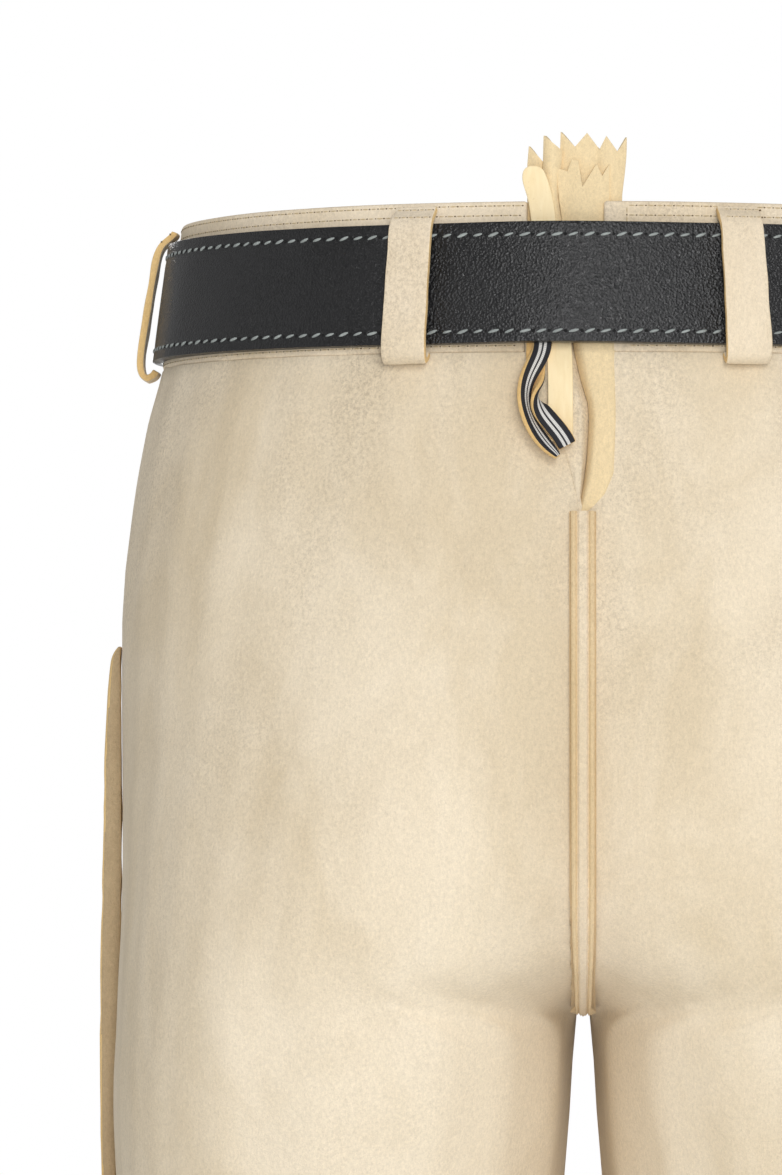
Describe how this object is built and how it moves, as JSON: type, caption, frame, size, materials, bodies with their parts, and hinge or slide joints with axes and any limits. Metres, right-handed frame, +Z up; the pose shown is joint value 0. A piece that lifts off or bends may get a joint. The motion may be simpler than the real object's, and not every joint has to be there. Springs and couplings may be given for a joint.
{
  "type": "suede lederhosen with belt",
  "caption": "Short leather breeches filled out as if worn, with a pleated back gusset, lace ends, fall flap, welted seams and a stitched belt through loops.",
  "frame": {"origin": "middle of the waist opening, 3 mm under the waistband's top edge", "axes": "+Z up, -Y towards the front, +X towards the wearer's left"},
  "size_m": [0.3324, 0.2758, 0.5241],
  "materials": {
    "suede": "napped suede, pale cream with grey-brown mottling",
    "cut_leather": "cut edges of chamois leather, pale yellow",
    "smooth_leather": "smooth pale yellow leather",
    "ribbon": "woven ribbon, black with two white stripes, on a leather lace",
    "belt_leather": "grained black leather, semi-gloss, with grey saddle stitches",
    "steel": "satin",
    "horn": "polished brown horn"
  },
  "bodies": {
    "root": {"back_left": "suede", "back_right": "suede", "front_left": "suede", "front_right": "suede", "waistband_left": "suede", "waistband_right": "suede", "gusset": "suede", "notch_strip": "suede", "strap": "smooth_leather", "lace_end_a": "ribbon", "lace_end_b": "ribbon", "welt_back": "cut_leather", "welt_front": "cut_leather", "welt_side_left": "cut_leather", "welt_side_right": "cut_leather", "flap": "suede", "button_left": "horn", "button_right": "horn", "belt_loop_back_left": "suede", "belt_loop_back_right": "suede", "belt_loop_side_left": "suede", "belt_loop_side_right": "suede", "belt_loop_front_left": "suede", "belt_loop_front_right": "suede", "belt": "belt_leather", "belt_keeper": "belt_leather", "belt_buckle": "steel", "buckle_prong": "steel"}
  },
  "joints": []
}
